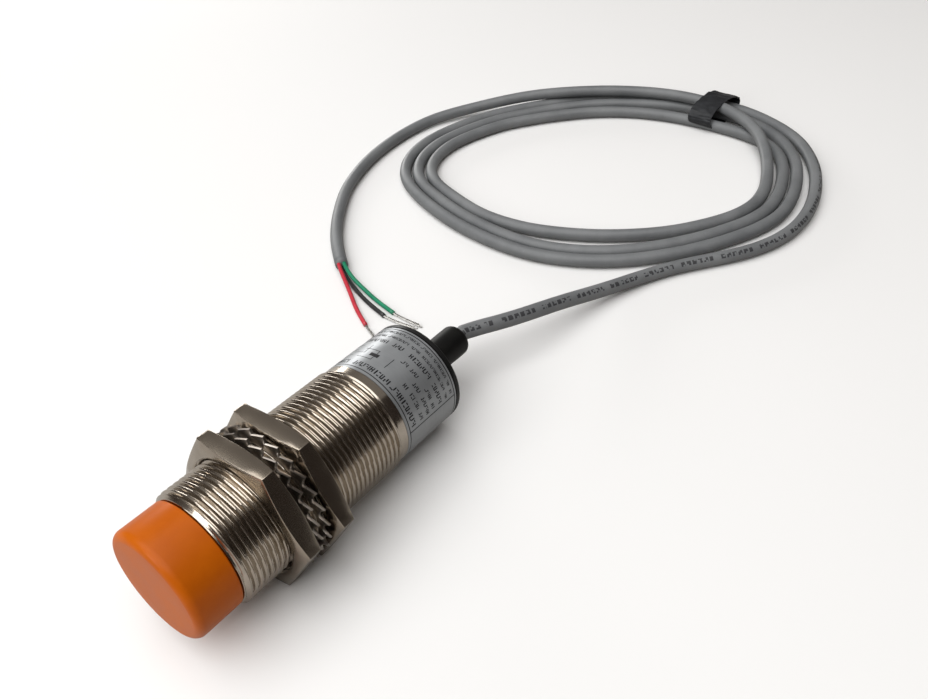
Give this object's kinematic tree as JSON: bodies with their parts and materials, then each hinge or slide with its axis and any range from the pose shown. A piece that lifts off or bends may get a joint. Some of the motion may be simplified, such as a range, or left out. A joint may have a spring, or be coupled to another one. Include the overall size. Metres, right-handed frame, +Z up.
{
  "type": "inductive proximity sensor",
  "caption": "Cylindrical M30 inductive proximity sensor with orange sensing cap, threaded nickel-plated barrel, hex nuts, toothed washers and a coiled grey cable.",
  "frame": {"origin": "on the table under the middle of the sensor's own length (cap to gland), without its free cable", "axes": "+X along the length, from the sensing face towards the cable end; +Z up from the table; the sensor's axis dips 4.2 degrees towards +X because the sensor rests on its rear nut and its rear rim"},
  "size_m": [0.2978, 0.1689, 0.037],
  "materials": {
    "orange_plastic": "moulded orange PBT, satin",
    "nickel_barrel": "brass, bright nickel plate, fine turning lines",
    "nickel_nut": "brass, nickel plate, slightly dull",
    "spring_steel": "zinc plated spring steel",
    "label_foil": null,
    "black_plastic": "black moulded plastic",
    "black_rubber": "soft black PVC or rubber",
    "ferrite": "sintered ferrite",
    "bobbin_plastic": "natural nylon",
    "copper_wire": "enamelled copper winding",
    "board_laminate": "glass-epoxy board with green resist",
    "chip_plastic": "moulded epoxy package",
    "blue_plastic": "blue moulded trimmer body",
    "capacitor_resin": "dipped resin",
    "capacitor_can": "sleeved aluminium can",
    "tinned_metal": "tinned copper",
    "potting_resin": "cast epoxy",
    "grey_cable": "grey PVC jacket",
    "red_core": "red PVC insulation",
    "green_core": "green PVC insulation",
    "black_core": "black PVC insulation",
    "black_tape": "black PVC insulating tape"
  },
  "bodies": {
    "sensor": {"sensing_cap": "orange_plastic", "barrel": "nickel_barrel", "rating_label": "label_foil", "end_cap": "black_plastic", "cable_gland": "black_rubber", "cap_seal_ring": "black_rubber", "ferrite_core": "ferrite", "coil_bobbin": "bobbin_plastic", "coil_winding": "copper_wire", "core_holder": "black_plastic", "circuit_board": "board_laminate", "oscillator_chip": "chip_plastic", "output_transistor": "chip_plastic", "trim_resistor": "blue_plastic", "film_capacitor_1": "capacitor_resin", "film_capacitor_2": "capacitor_resin", "supply_capacitor": "capacitor_can", "lead_terminal_1": "tinned_metal", "lead_terminal_2": "tinned_metal", "lead_terminal_3": "tinned_metal", "cable_clamp": "tinned_metal", "resin_plug": "potting_resin", "cable_inner": "grey_cable", "inner_core_red": "red_core", "inner_core_green": "green_core", "inner_core_black": "black_core", "cable_lead": "grey_cable", "cable_coil": "grey_cable", "cable_tail": "grey_cable", "tape_tie": "black_tape", "core_red": "red_core", "core_green": "green_core", "core_black": "black_core", "strands_red": "tinned_metal", "strands_green": "tinned_metal", "strands_black": "tinned_metal"},
    "front_washer": {"front_washer": "spring_steel"},
    "front_nut": {"front_nut": "nickel_nut"},
    "rear_washer": {"rear_washer": "spring_steel"},
    "rear_nut": {"rear_nut": "nickel_nut"}
  },
  "joints": [
    {"name": "front_washer_slide", "type": "slide", "parent": "sensor", "child": "front_washer", "axis": [-0.9973, 0, 0.0736], "range_m": [0, 0.01125]},
    {"name": "front_nut_turn", "type": "hinge", "parent": "front_washer", "child": "front_nut", "pos_m": [-0.0251, 0, 0.0189], "axis": [-0.9973, 0, 0.0736], "range_deg": [0, 2700]},
    {"name": "rear_washer_slide", "type": "slide", "parent": "sensor", "child": "rear_washer", "axis": [0.9973, 0, -0.0736], "range_m": [0, 0.0225]},
    {"name": "rear_nut_turn", "type": "hinge", "parent": "rear_washer", "child": "rear_nut", "pos_m": [-0.01473, 0, 0.01814], "axis": [0.9973, 0, -0.0736], "range_deg": [0, 5400]}
  ],
  "couplings": [
    {"joint": "front_washer_slide", "follows": "front_nut_turn", "m_per_rad": 0.00023873},
    {"joint": "rear_washer_slide", "follows": "rear_nut_turn", "m_per_rad": 0.00023873}
  ]
}
